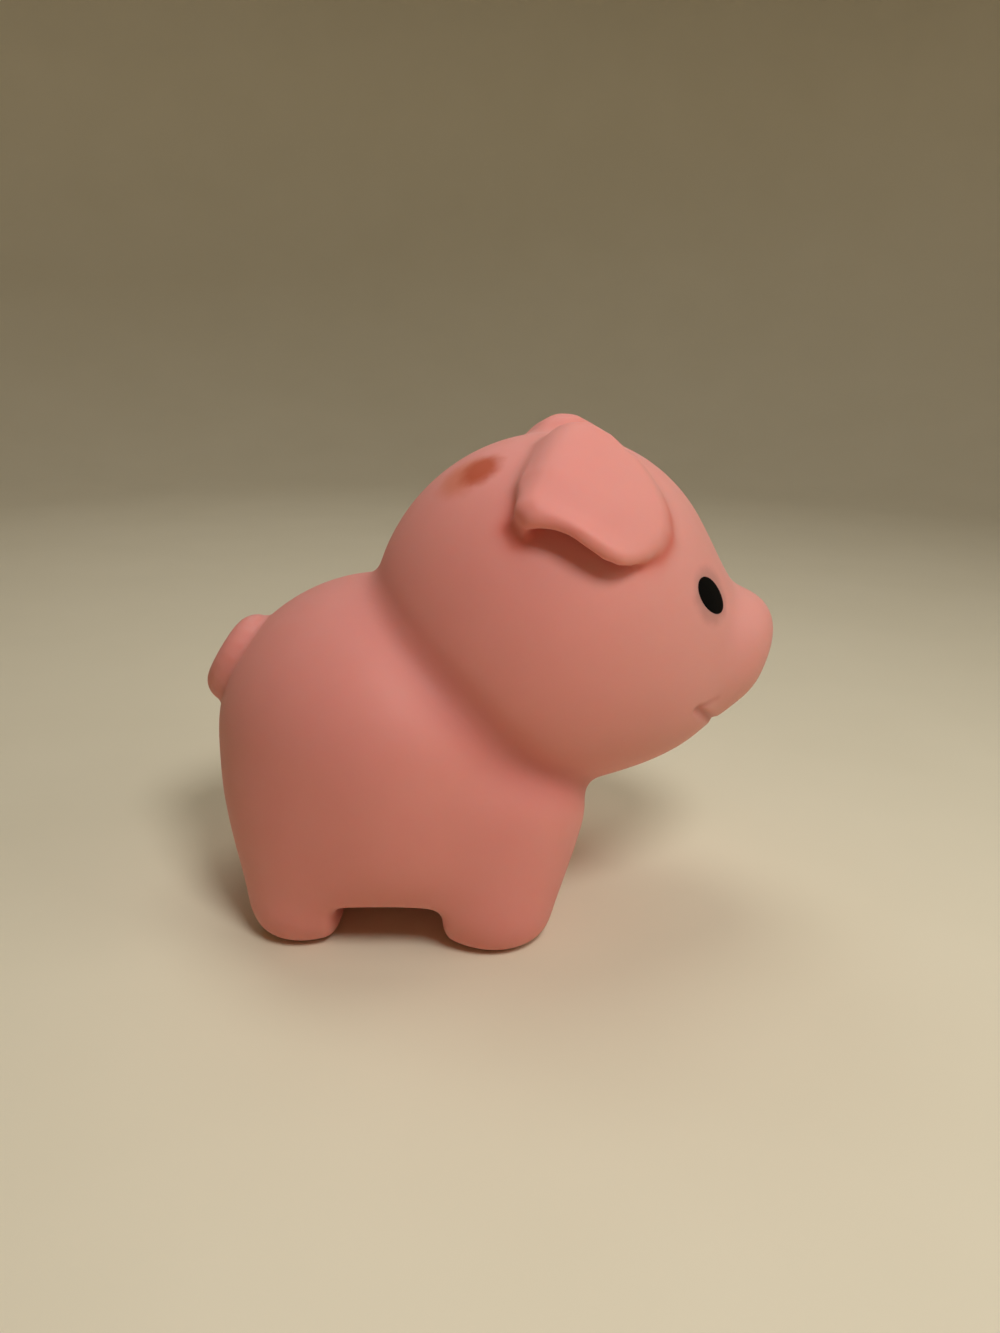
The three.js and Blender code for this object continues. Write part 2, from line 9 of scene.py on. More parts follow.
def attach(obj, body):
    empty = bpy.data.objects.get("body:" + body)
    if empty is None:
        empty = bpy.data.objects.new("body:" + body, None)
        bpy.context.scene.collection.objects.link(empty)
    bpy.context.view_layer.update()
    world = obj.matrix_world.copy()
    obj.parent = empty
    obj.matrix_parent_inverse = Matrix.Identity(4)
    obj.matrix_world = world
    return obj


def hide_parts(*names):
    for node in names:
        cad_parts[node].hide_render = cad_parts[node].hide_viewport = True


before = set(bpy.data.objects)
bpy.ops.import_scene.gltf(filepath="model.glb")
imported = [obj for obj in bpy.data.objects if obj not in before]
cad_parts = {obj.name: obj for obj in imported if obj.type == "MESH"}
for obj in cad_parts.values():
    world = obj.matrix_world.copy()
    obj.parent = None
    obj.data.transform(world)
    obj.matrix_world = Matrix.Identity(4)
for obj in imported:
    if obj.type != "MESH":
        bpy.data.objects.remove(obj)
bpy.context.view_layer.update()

# Moulded skin: one hollow piece of soft vinyl with the trunk, four stub legs, head, snout, ear
# flaps and curly tail in one. It is cast in a closed mould that turns and pulled out of it while
# soft, so it has no seam. All sizes in this file are in millimetres, in the part's own frame.
MM = 0.001


def heading(turn, rise):
    """A unit vector turned from +X towards +Y, and raised, in degrees."""
    turn, rise = math.radians(turn), math.radians(rise)
    flat = math.cos(rise)
    return np.array([math.cos(turn) * flat, math.sin(turn) * flat, math.sin(rise)])


def length(v):
    """The length of each vector."""
    return np.sqrt((v * v).sum(axis=-1))


def ramp(value, start, end):
    """A smooth rise from 0 at the start to 1 at the end."""
    share = np.clip((value - start) / (end - start), 0, 1)
    return share * share * (3 - 2 * share)


def closeness(distance, width):
    """1 where a distance is nothing, falling away smoothly over the width."""
    return np.exp(-((distance / width) ** 2))


# A form is a function of points that is below zero inside it and about as many millimetres above
# zero as a point lies outside it.
def soft_union(a, b, blend):
    """Two forms as one, with a fillet where they meet."""
    nearness = np.maximum(blend - np.abs(a - b), 0) / blend
    return np.minimum(a, b) - nearness * nearness * blend / 4


def soft_cut(a, b, blend):
    """What is left of a where b is cut away."""
    return -soft_union(-a, b, blend)


def egg(p, centre, radii, lean=0.0):
    """A ball with its own radius along each axis, leaning in the plane of symmetry, in degrees."""
    least = 1e-9
    q = p - np.array(centre)
    c, s = math.cos(math.radians(lean)), math.sin(math.radians(lean))
    q = np.stack([q[:, 0] * c + q[:, 2] * s, q[:, 1], q[:, 2] * c - q[:, 0] * s], axis=1) / radii
    near = length(q)
    return near * (near - 1) / np.maximum(length(q / radii), least)


def limb(p, a, b, radius_a, radius_b):
    """A ball at each end, with the cone that touches both between them."""
    a, b = np.array(a), np.array(b)
    reach = length(b - a)
    axis = (b - a) / reach
    q = p - a
    along = q @ axis
    across = np.sqrt(np.maximum((q * q).sum(axis=1) - along * along, 0))
    sine = (radius_a - radius_b) / reach
    cosine = math.sqrt(1 - sine * sine)
    foot = along * cosine - across * sine
    side = across * cosine + along * sine - radius_a
    near_a = np.hypot(along, across) - radius_a
    near_b = np.hypot(along - reach, across) - radius_b
    return np.where(foot < 0, near_a, np.where(foot > reach * cosine, near_b, side))


def nose_pad(p, centre, axis, flat_radius, rounding):
    """A flat round pad that faces along an axis, with a rounded edge."""
    q = p - np.array(centre)
    along = q @ axis
    across = length(q - along[:, None] * axis)
    return np.hypot(np.maximum(across - flat_radius, 0), along) - rounding


def path_distance(p, path, radii):
    """A tube along a path, with its own radius at each point of the path."""
    nearest = np.full(len(p), np.inf)
    for a, b, ra, rb in zip(path[:-1], path[1:], radii[:-1], radii[1:]):
        share = np.clip((p - a) @ (b - a) / ((b - a) @ (b - a)), 0, 1)
        off = length(p - a - share[:, None] * (b - a))
        nearest = np.minimum(nearest, off - ra - share * (rb - ra))
    return nearest


def outline_distance(outline, x, y):
    """How far points of a plane lie outside a closed outline, below zero inside it."""
    nearest = np.full(x.shape, np.inf)
    inside = np.zeros(x.shape, bool)
    for (ax, ay), (bx, by) in zip(outline, outline[1:] + outline[:1]):
        run = (bx - ax) ** 2 + (by - ay) ** 2
        share = np.clip(((x - ax) * (bx - ax) + (y - ay) * (by - ay)) / run, 0, 1)
        off = np.hypot(x - ax - share * (bx - ax), y - ay - share * (by - ay))
        nearest = np.minimum(nearest, off)
        if ay != by:
            inside ^= ((ay > y) != (by > y)) & (x < ax + (y - ay) / (by - ay) * (bx - ax))
    return np.where(inside, -nearest, nearest)


def mirrored(p):
    """The points moved to the left half, for forms that are alike on both sides."""
    return p * [1, 0, 1] + np.abs(p) * [0, 1, 0]


BODY_CENTRE, BODY_RADII = [-15.29, 0, 29.8], [28.5, 29, 25]
BELLY_CENTRE, BELLY_RADII, BELLY_BLEND = [-14.19, 0, 16], [25.9, 26, 17], 10
# Each leg is a limb: its end in the trunk, its end at the sole, and their two radii.
HIND_LEG = [-25.99, 12, 20], [-28.69, 16, 5.6], 10, 7.8
FORE_LEG = [4.21, 10.8, 19.8], [2.41, 15.5, 6.2], 11.5, 9.5
LEG_BLEND = 9
SOLE_TRIM, SOLE_ROUNDING = 0.4, 3


def trunk(p):
    """The trunk and its legs, cut off level just under the soles."""
    side = mirrored(p)
    body, belly = egg(side, BODY_CENTRE, BODY_RADII), egg(side, BELLY_CENTRE, BELLY_RADII)
    form = soft_union(body, belly, BELLY_BLEND)
    for leg in (HIND_LEG, FORE_LEG):
        form = soft_union(form, limb(side, *leg), LEG_BLEND)
    return soft_cut(form, p[:, 2] + SOLE_TRIM, SOLE_ROUNDING)


HEAD_CENTRE, HEAD_RADII, HEAD_LEAN = np.array([9.31, 0, 49.1]), [27.3, 25.5, 29], -29.6
SNOUT_ROOT, SNOUT_TIP = np.array([24.15, 0, 43.29]), np.array([34.83, 0, 43.85])
SNOUT_ROOT_RADIUS, SNOUT_TIP_RADIUS, SNOUT_BLEND = 16.3, 10.4, 7.4
NOSE_CENTRE, NOSE_FACING = [38.13, 0, 44.02], heading(0, -35.7)
NOSE_FLAT_RADIUS, NOSE_ROUNDING, NOSE_BLEND = 5.75, 3.85, 4


def head(p):
    """The skull, the snout and the snout's blunt end."""
    skull = egg(p, HEAD_CENTRE, HEAD_RADII, HEAD_LEAN)
    snout = limb(p, SNOUT_ROOT, SNOUT_TIP, SNOUT_ROOT_RADIUS, SNOUT_TIP_RADIUS)
    nose = nose_pad(p, NOSE_CENTRE, NOSE_FACING, NOSE_FLAT_RADIUS, NOSE_ROUNDING)
    return soft_union(soft_union(skull, snout, SNOUT_BLEND), nose, NOSE_BLEND)


NECK_BLEND, NECK_PINCH, PINCH_SHIFT, PINCH_WIDTH = 3.0, 1.0, 1, 4.0
CHIN_FADE, NAPE_FADE = (5, 17), (40, 58)


def neck(p, body, skull):
    """The soft valley between head and trunk, pinched at the sides, open at chin and nape."""
    chin, nape = ramp(p[:, 0], *CHIN_FADE), ramp(p[:, 2], *NAPE_FADE)
    valley = closeness(body - skull + PINCH_SHIFT, PINCH_WIDTH)
    pinch = NECK_PINCH * (1 - chin) * (1 - nape) * valley
    return soft_union(body, skull, NECK_BLEND) + pinch


def plain_skin(p):
    """Trunk and head alone, which carry the finer forms."""
    return soft_union(trunk(p), head(p), NECK_BLEND)


GAP_X, GAP_LENGTH, GAP_HEIGHT, GAP_ROUNDING = -13.988, 16.7, 8.0, 3
ARCH_HALF_WIDTH, ARCH_HEIGHT = 6.5, 7


def leg_gaps(p):
    """The gap between fore and hind legs, and the arch between left and right ones."""
    in_from_leg, in_from_belly = GAP_LENGTH / 2 - np.abs(p[:, 0] - GAP_X), GAP_HEIGHT - p[:, 2]
    across = -soft_union(in_from_leg, in_from_belly, GAP_ROUNDING)
    along = np.hypot(p[:, 1], p[:, 2] * ARCH_HALF_WIDTH / ARCH_HEIGHT) - ARCH_HALF_WIDTH
    return soft_union(across, along, GAP_ROUNDING)


WALL = 2.4


def hollow(p):
    """The air space inside, which ends level above the leg gaps."""
    lowest = GAP_HEIGHT + WALL
    return soft_cut(plain_skin(p) + WALL, p[:, 2] - lowest, WALL / 2)


def on_skin(start, direction):
    """Where a line from an inside point meets the plain skin."""
    low, high, halvings = 0.0, 100.0, 40
    for _ in range(halvings):
        middle = (low + high) / 2
        within = plain_skin((start + middle * direction)[None])[0] < 0
        low, high = (middle, high) if within else (low, middle)
    return start + low * direction


# The left ear's middle, the three directions it is measured in, and its outline and two of its
# edges in the plane of the first two.
EAR_CENTRE = np.array([15.11, 17.55, 71.17])
EAR_ALONG = np.array([0.5675, 0.4751, -0.6725])
EAR_ACROSS = np.array([-0.7402, 0.6521, -0.1639])
EAR_OUT = np.array([0.3606, 0.5908, 0.7218])
EAR_OUTLINE = [
    (-10.5, -3.4), (-11.2, -5.6), (-10.1, -7.6), (-7.5, -8.7), (-2.6, -8.9), (2.7, -8.2),
    (5.6, -7.4), (7.9, -6.1), (9.6, -3.9), (10.3, -1.8), (10.3, 0.9), (9.9, 2.6),
    (8.7, 4.2), (6.4, 5.7), (-0.5, 9.2), (-2.0, 9.1), (-5.2, 5.0), (-7.8, 1.0),
]
EAR_RIM = (8.4, 2.1), (-1.9, 8.9)
EAR_REAR = (-1.9, 8.9), (-10.7, -3.4)
EDGE_REACH = 2.5
# The flap bows, its lower rim lifts off the head and its rear edge rolls under, each by so much for
# the square of each millimetre.
BOW_ALONG, BOW_ACROSS = 0.0125, 0.008
LIFT, LIFT_WIDTH, LIFT_FADE = 0.014, 8, (5, 12)
ROLL, ROLL_WIDTH, ROLL_AT_RIM = 0.045, 5, 0.5
# Half the flap's thickness at its rim, and what it gains further in and along its rear edge.
RIM_HALF, INNER_GAIN, INNER_WIDTH, REAR_GAIN, REAR_WIDTH = 1.25, 0.95, 6, 0.5, 5
POCKET_DEPTH, POCKET_LENGTH, POCKET_ROUNDING = 5.5, 11.2, 3
ROOT_MARGIN, ROOT_DEPTH, ROOT_BLEND, ROOT_EDGE = 1.2, 9, 2, 1
# How softly the ear runs into the head: at its free edges, and what is added at its root.
FREE_BLEND, ROOTED_BLEND, ROOTED_RIM, ROOTED_REAR = 1.8, 2.2, (3, 9), (6, 13)


def from_edge(edge, along, across):
    """How far inside an edge of the ear points lie, and how far along it."""
    (start_x, start_y), (end_x, end_y) = edge
    run = math.hypot(end_x - start_x, end_y - start_y)
    step_x, step_y = (end_x - start_x) / run, (end_y - start_y) / run
    inside = (across - start_y) * step_x - (along - start_x) * step_y
    return np.maximum(inside, -EDGE_REACH), (along - start_x) * step_x + (across - start_y) * step_y


def ear(p):
    """The left ear's form, and how softly it runs into the head. The right one mirrors it."""
    q = p - EAR_CENTRE
    along, across = q @ EAR_ALONG, q @ EAR_ACROSS
    edge = outline_distance(EAR_OUTLINE, along, across)
    in_from_rim, along_rim = from_edge(EAR_RIM, along, across)
    in_from_rear, _ = from_edge(EAR_REAR, along, across)
    lift = LIFT * np.maximum(LIFT_WIDTH - in_from_rim, 0) ** 2 * (1 - ramp(along_rim, *LIFT_FADE))
    roll = ROLL * np.maximum(ROLL_WIDTH - in_from_rear, 0) ** 2
    roll *= ROLL_AT_RIM + (1 - ROLL_AT_RIM) * ramp(in_from_rim, 0, ROLL_WIDTH)
    out = q @ EAR_OUT + BOW_ALONG * along**2 + BOW_ACROSS * across**2 - lift + roll
    half = RIM_HALF + INNER_GAIN * ramp(in_from_rim, 0, INNER_WIDTH)
    half += REAR_GAIN * (1 - ramp(in_from_rear, 0, REAR_WIDTH))
    flap = np.hypot(np.maximum(edge, 0), out) - half
    # The root joins flap and head, but for a pocket that opens under the lower rim.
    pocket = -soft_union(POCKET_DEPTH - in_from_rim, POCKET_LENGTH - along_rim, POCKET_ROUNDING)
    root = soft_cut(edge - ROOT_MARGIN, pocket, ROOT_BLEND)
    root = -soft_union(-root, np.minimum(-out, out + ROOT_DEPTH), ROOT_EDGE)
    rooted = ramp(in_from_rim, *ROOTED_RIM) * ramp(in_from_rear, *ROOTED_REAR)
    return soft_union(flap, root, ROOT_BLEND), FREE_BLEND + ROOTED_BLEND * rooted


LEFT_EAR_BACK, CROWN_HALF_WIDTH = 1.6, 3


def ear_mirrored(p):
    """As mirrored, for the ears: this toy's left one sits a little further back than its right."""
    leftness = ramp(p[:, 1], -CROWN_HALF_WIDTH, CROWN_HALF_WIDTH)
    return mirrored(p) + leftness[:, None] * [LEFT_EAR_BACK, 0, 0]


TAIL_CENTRE, TAIL_OUT = np.array([-39.46, 0, 39.85]), heading(180, 28)
TAIL_LEFT = np.array([0, 1, 0])
TAIL_UP = np.cross(TAIL_LEFT, TAIL_OUT)
TAIL_POINTS, TAIL_TURNS, TAIL_CURL, TAIL_PITCH, TAIL_RADIUS, TAIL_BLEND = 25, 1.2, 4.2, 1.2, 3.7, 1
TAIL_SHARES = np.linspace(0, 1, TAIL_POINTS)[:, None]
TAIL_ANGLES = -math.pi / 2 + TAIL_SHARES * TAIL_TURNS * 2 * math.pi
TAIL_ROUND = np.cos(TAIL_ANGLES) * TAIL_LEFT + np.sin(TAIL_ANGLES) * TAIL_UP
TAIL_PATH = TAIL_CENTRE + TAIL_CURL * TAIL_ROUND + TAIL_PITCH * TAIL_SHARES * TAIL_OUT
TAIL_RADII = np.full(TAIL_POINTS, TAIL_RADIUS)

# The mouth is a smile line that sags between its corners, and a fainter line runs up from each
# corner towards the snout. Both are placed by their headings from the middle of the head.
MOUTH_TURN, MOUTH_RISE, MOUTH_SAG = 32, -21, 9
MOUTH_POINTS, MOUTH_RADIUS, CORNER_GAIN = 17, 0.25, 0.1
MOUTH_SHARES = np.linspace(-1, 1, MOUTH_POINTS)
MOUTH_PATH = np.array([
    on_skin(HEAD_CENTRE, heading(MOUTH_TURN * s, MOUTH_RISE - MOUTH_SAG * (1 - s * s)))
    for s in MOUTH_SHARES
])
MOUTH_RADII = MOUTH_RADIUS + CORNER_GAIN * MOUTH_SHARES**2
CHEEK_HEADINGS = (32, -21), (30, -20.1), (28, -19.3), (26, -18.6), (24, -18)
CHEEK_LINE = np.array([on_skin(HEAD_CENTRE, heading(turn, rise)) for turn, rise in CHEEK_HEADINGS])
CHEEK_RADII = np.array([0.1, -0.05, -0.15, -0.3, -0.45])
# Each line's path and radii, how far it reaches from its middle, and how its edges are rounded.
FACE_LINES = (MOUTH_PATH, MOUTH_RADII, 30, 1.0), (CHEEK_LINE, CHEEK_RADII, 12, 0.9)
NOSTRIL = on_skin(SNOUT_TIP, heading(17, -12))
NOSTRIL_RADII, NOSTRIL_REACH, NOSTRIL_BLEND = [1.3, 1.1, 1.6], 6, 0.8
GAP_BLEND, EAR_REACH, SOLE_EDGE = 2, 24, 0.5


def skin(p):
    """The whole outside of the skin."""
    form = neck(p, soft_cut(trunk(p), leg_gaps(p), GAP_BLEND), head(p))
    side, ear_side = mirrored(p), ear_mirrored(p)
    for line, radii, reach, blend in FACE_LINES:
        near = length(side - line[len(line) // 2]) < reach
        form[near] = soft_cut(form[near], path_distance(side[near], line, radii), blend)
    near = length(side - NOSTRIL) < NOSTRIL_REACH
    form[near] = soft_cut(form[near], egg(side[near], NOSTRIL, NOSTRIL_RADII), NOSTRIL_BLEND)
    near = length(ear_side - EAR_CENTRE) < EAR_REACH
    form[near] = soft_union(form[near], *ear(ear_side[near]))
    form = soft_union(form, path_distance(p, TAIL_PATH, TAIL_RADII), TAIL_BLEND)
    return soft_cut(form, p[:, 2], SOLE_EDGE)


def slope(form, p):
    """How a form rises along each axis at the points."""
    step = 0.02
    rises = [(form(p + step * axis) - form(p - step * axis)) / (2 * step) for axis in np.eye(3)]
    return np.stack(rises, axis=1)


def surface(form, low, high, step):
    """Points and four-cornered faces on a form's outside, a point for each cell that it crosses."""
    axes = [np.arange(a, b + step, step) for a, b in zip(low, high)]
    shape = tuple(len(a) for a in axes)
    values = np.empty(shape)
    for i, x in enumerate(axes[0]):
        y, z = np.meshgrid(axes[1], axes[2], indexing="ij")
        sheet = np.stack([np.full(y.size, x), y.ravel(), z.ravel()], axis=1)
        values[i] = form(sheet).reshape(shape[1:])
    inside = values < 0
    held = sum(inside[tuple(slice(c, n - 1 + c) for c, n in zip(corner, shape))].astype(int)
               for corner in product((0, 1), repeat=3))
    cells = np.argwhere((held > 0) & (held < 8))
    total, hits = np.zeros((len(cells), 3)), np.zeros(len(cells))
    for axis, pair in product(range(3), product((0, 1), repeat=2)):
        a, b = np.insert(pair, axis, 0), np.insert(pair, axis, 1)
        at_a, at_b = values[tuple((cells + a).T)], values[tuple((cells + b).T)]
        crossed = (at_a < 0) != (at_b < 0)
        share = np.where(crossed, at_a / np.where(crossed, at_a - at_b, 1), 0)
        total += crossed[:, None] * (a + share[:, None] * (b - a))
        hits += crossed
    points = np.array([a[0] for a in axes]) + step * (cells + total / hits[:, None])
    number = np.full([n - 1 for n in shape], -1)
    number[tuple(cells.T)] = np.arange(len(cells))
    faces = []
    for axis in range(3):
        u, v = np.eye(3, dtype=int)[[(axis + 1) % 3, (axis + 2) % 3]]
        ends = np.argwhere(np.diff(inside.astype(int), axis=axis) != 0)
        around = (ends, ends - u, ends - u - v, ends - v)
        quad = np.stack([number[tuple(q.T)] for q in around], axis=1)
        outward = inside[tuple(ends.T)]
        faces.append(np.where(outward[:, None], quad, quad[:, ::-1]))
    # The points start at the middle of their cells' crossings and are then drawn onto the form.
    least_steepness = 0.1
    for _ in range(3):
        steep = slope(form, points)
        steepness = np.maximum((steep * steep).sum(axis=1), least_steepness)
        points -= (form(points) / steepness)[:, None] * steep
    return points, np.concatenate(faces).tolist()


def piece(name, points, faces):
    """A new object at the origin, from points in millimetres."""
    mesh = bpy.data.meshes.new(name)
    mesh.from_pydata(np.asarray(points) * MM, [], faces)
    obj = bpy.data.objects.new(name, mesh)
    bpy.context.scene.collection.objects.link(obj)
    return obj


def finished(obj):
    """The object with its modifiers made into its mesh."""
    graph = bpy.context.evaluated_depsgraph_get()
    mesh = bpy.data.meshes.new_from_object(obj.evaluated_get(graph), depsgraph=graph)
    obj.modifiers.clear()
    obj.data = mesh
    mesh.name = obj.name
    return obj


ROUND_STEP, ARC_POINTS = 3.75, 49


def arc(radius, start, end):
    """Points of a round, or of a part of one, about the belly hole's upright axis."""
    whole = end - start == 360
    angles = np.arange(start, end, ROUND_STEP) if whole else np.linspace(start, end, ARC_POINTS)
    turns = np.radians(angles)
    return [(GAP_X + radius * math.cos(turn), radius * math.sin(turn)) for turn in turns]


def prism(name, outline, low, high):
    """A solid with upright sides over an outline."""
    count = len(outline)
    points = [(x, y, z) for z in (low, high) for x, y in outline]
    sides = [[i, (i + 1) % count, count + (i + 1) % count, count + i] for i in range(count)]
    ends = [list(range(count - 1, -1, -1)), list(range(count, 2 * count))]
    return piece(name, points, sides + ends)


def cut(obj, *cutters):
    """Cuts solids out of an object and removes them."""
    for cutter in cutters:
        step = obj.modifiers.new(cutter.name, "BOOLEAN")
        step.object = cutter
        step.solver = "MANIFOLD"
    finished(obj)
    for cutter in cutters:
        bpy.data.objects.remove(cutter)


SHARP_ANGLE = math.radians(40)
SKIN_BOX, SKIN_STEP = ((-47.5, -30.5, -1.4), (47.5, 30.5, 81.5)), 0.55
CORE_BOX, CORE_STEP = ((-45, -28, 8), (45, 28, 78)), 1.6
HOLE_RADIUS, HOLE_LOW = 5.2, 4.0
vinyl_skin = piece("vinyl_skin", *surface(skin, *SKIN_BOX, SKIN_STEP))
core = piece("core", *surface(hollow, *CORE_BOX, CORE_STEP))
hole = prism("hole", arc(HOLE_RADIUS, 0, 360), HOLE_LOW, GAP_HEIGHT + 2 * WALL)
cut(vinyl_skin, core, hole)
vinyl_skin.data.shade_smooth()
vinyl_skin.data.set_sharp_from_angle(angle=SHARP_ANGLE)

# How near each point is to the bottom of a crease, at the neck and mouth, or of an ear's pocket:
# masks for the painted shade in the creases and the painted red glow in the pockets. The neck's
# crease grows fainter towards the nape, and the pockets end below the crown.
VALLEY_WIDTH, VALLEY_FADE, VALLEY_FADING, LINE_WIDTH = 3.5, (36, 58), 0.7, 0.7
GLOW_WIDTH, GLOW_FADE = 1.5, (67, 72)
skin_points = np.array([v.co for v in vinyl_skin.data.vertices]) / MM
creases = closeness(trunk(skin_points) - head(skin_points) + PINCH_SHIFT, VALLEY_WIDTH)
creases *= 1 - VALLEY_FADING * ramp(skin_points[:, 2], *VALLEY_FADE)
for line, radii, _, _ in FACE_LINES:
    line_distance = path_distance(mirrored(skin_points), line, radii)
    creases = np.maximum(creases, closeness(line_distance, LINE_WIDTH))
# Mask for the painted red glow in the ears' pockets.
pockets = closeness(ear(ear_mirrored(skin_points))[0] - plain_skin(skin_points), GLOW_WIDTH)
pockets *= 1 - ramp(skin_points[:, 2], *GLOW_FADE)
for name, values in (("crease", creases), ("pocket", pockets)):
    vinyl_skin.data.attributes.new(name, "FLOAT", "POINT").data.foreach_set("value", values)


def linear(hex_colour):
    """An sRGB hex colour as linear red, green, blue and alpha."""
    parts = [int(hex_colour[i:i + 2], 16) / 255 for i in (1, 3, 5)]
    return [c / 12.92 if c <= 0.04045 else ((c + 0.055) / 1.055) ** 2.4 for c in parts] + [1.0]


def add(tree, kind, values=None, links=None, **settings):
    """A new node with its settings, its sockets' values, and links from other nodes' outputs."""
    node = tree.nodes.new(kind)
    for name, value in settings.items():
        setattr(node, name, value)
    for socket, value in (values or {}).items():
        node.inputs[socket].default_value = value
    for socket, source in (links or {}).items():
        tree.links.new(source, node.inputs[socket])
    return node


def new_material(name):
    """A material with an empty tree, and its Object coordinates."""
    material = bpy.data.materials.new(name)
    material.use_nodes = True
    material.node_tree.nodes.clear()
    place = add(material.node_tree, "ShaderNodeTexCoord").outputs["Object"]
    return material, material.node_tree, place


# A colour Mix node's sockets go by number, because its names repeat: two inputs and one output.
MIX_A, MIX_B, MIX_OUT = 6, 7, 2
VECTOR_MATH = "ShaderNodeVectorMath"

# Soft PVC vinyl, pigmented through, with a fine matt skin from the etched mould. Light enters it a
# few millimetres and comes back redder, so creases glow and nothing on it has a hard highlight.
vinyl, tree, place = new_material("soft_vinyl_matt_pink")
CLOUD_SIZE, EDGE_SIZE, SWELL_SIZE, GRAIN_SIZE = 14, 2.2, 6, 0.5
cloud = add(tree, "ShaderNodeTexNoise",
            {"Scale": 1 / (CLOUD_SIZE * MM), "Detail": 3.0, "Roughness": 0.55}, {"Vector": place})
tone = add(tree, "ShaderNodeMix", {MIX_A: linear("#E69488"), MIX_B: linear("#E08B80")},
           {0: cloud.outputs[0]}, data_type="RGBA")
colour = tone.outputs[MIX_OUT]
# Towards the front, over the face and snout, the colour turns lighter and paler.
FACE_TONE_START, FACE_TONE_END, FACE_TONE = 3, 38, 0.6
ahead = add(tree, "ShaderNodeSeparateXYZ", None, {0: place}).outputs[0]
face_toned = add(tree, "ShaderNodeMapRange",
            {"From Min": FACE_TONE_START * MM, "From Max": FACE_TONE_END * MM, "To Min": 0.0, "To Max": FACE_TONE},
            {"Value": ahead}, interpolation_type="SMOOTHSTEP")
colour = add(tree, "ShaderNodeMix", {MIX_B: linear("#E09E91")},
             {0: face_toned.outputs[0], MIX_A: colour}, data_type="RGBA").outputs[MIX_OUT]
# Painted shade: the creases are tinted darker and redder where shade falls, and the ears' pockets
# are tinted redder as a painted glow of light passing from wall to wall.
for name, tint, strength in (("crease", "#B04A3B", 0.42), ("pocket", "#D9533C", 0.55)):
    near = add(tree, "ShaderNodeAttribute", attribute_name=name, attribute_type="GEOMETRY")
    depth = add(tree, "ShaderNodeMath", {1: strength}, {0: near.outputs["Fac"]},
                operation="MULTIPLY")
    colour = add(tree, "ShaderNodeMix", {MIX_B: linear(tint)},
                 {0: depth.outputs[0], MIX_A: colour}, data_type="RGBA").outputs[MIX_OUT]
# A rust-coloured stain soaked into the crown, with a weaker tail to its rear, and a soft grey-brown
# darkening round each eye. Their edges wander.
EDGE_WANDER = 1.6
wander = add(tree, "ShaderNodeTexNoise", {"Scale": 1 / (EDGE_SIZE * MM), "Detail": 3.0},
             {"Vector": place})
for centre, core_size, soft_size, strength, tint in (
    ((-3.4, -8.2, 72.1), 1.6, 6.0, 0.65, "#C9653B"),
    ((-0.9, -9.0, 73.2), 1.5, 4.5, 0.97, "#B84A20"),
    ((33.65, -12.4, 55.9), 3.0, 5.4, 0.35, "#8F6258"),
    ((33.65, 12.4, 55.9), 3.0, 5.4, 0.35, "#8F6258"),
):
    offset = add(tree, VECTOR_MATH, {1: [c * MM for c in centre]}, {0: place}, operation="SUBTRACT")
    away = add(tree, VECTOR_MATH, None, {0: offset.outputs[0]}, operation="LENGTH")
    rough_edge = add(tree, "ShaderNodeMath", {1: EDGE_WANDER * MM},
                     {0: wander.outputs[0], 2: away.outputs["Value"]}, operation="MULTIPLY_ADD")
    inner, outer = core_size + EDGE_WANDER / 2, soft_size + EDGE_WANDER / 2
    mark = add(tree, "ShaderNodeMapRange",
               {"From Min": inner * MM, "From Max": outer * MM, "To Min": strength, "To Max": 0.0},
               {"Value": rough_edge.outputs[0]}, interpolation_type="SMOOTHSTEP")
    colour = add(tree, "ShaderNodeMix", {MIX_B: linear(tint)},
                 {0: mark.outputs[0], MIX_A: colour}, data_type="RGBA").outputs[MIX_OUT]
fine = add(tree, "ShaderNodeTexNoise", {"Scale": 1 / (GRAIN_SIZE * MM), "Detail": 2.0},
           {"Vector": place})
wave = add(tree, "ShaderNodeTexNoise", {"Scale": 1 / (SWELL_SIZE * MM), "Detail": 1.0},
           {"Vector": place})
sheen = add(tree, "ShaderNodeMapRange", {"To Min": 0.55, "To Max": 0.68},
            {"Value": cloud.outputs[0]})
swell = add(tree, "ShaderNodeBump", {"Strength": 0.25, "Distance": 0.1 * MM},
            {"Height": wave.outputs[0]})
grain = add(tree, "ShaderNodeBump", {"Strength": 0.12, "Distance": 0.03 * MM},
            {"Height": fine.outputs[0], "Normal": swell.outputs[0]})
shader = add(tree, "ShaderNodeBsdfPrincipled",
             {"IOR": 1.52, "Specular IOR Level": 0.4, "Subsurface Weight": 0.6,
              "Subsurface Radius": (1.0, 0.4, 0.25), "Subsurface Scale": 3.5 * MM},
             {"Base Color": colour, "Roughness": sheen.outputs[0], "Normal": grain.outputs[0]})
add(tree, "ShaderNodeOutputMaterial", None, {"Surface": shader.outputs[0]})
vinyl_skin.data.materials.clear()
vinyl_skin.data.materials.append(vinyl)
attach(vinyl_skin, "toy")
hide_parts("vinyl_shell")

# Painted eyes: a leaning oval of black paint sprayed on each cheek through a mask after moulding.
# The coat is far thinner than the skin, follows its curve, and thins to nothing at its rim.
EYE_TURN, EYE_RISE = 27.1, 13.9
EYE_WIDTH, EYE_HEIGHT, EYE_LEAN, EYE_COAT = 7.4, 4.9, 40, 0.08
EYE_SEGMENTS, EYE_RINGS = 72, 28
SPRAY_START, SPRAY_REACH = 5, 20
UP = np.array([0.0, 0.0, 1.0])

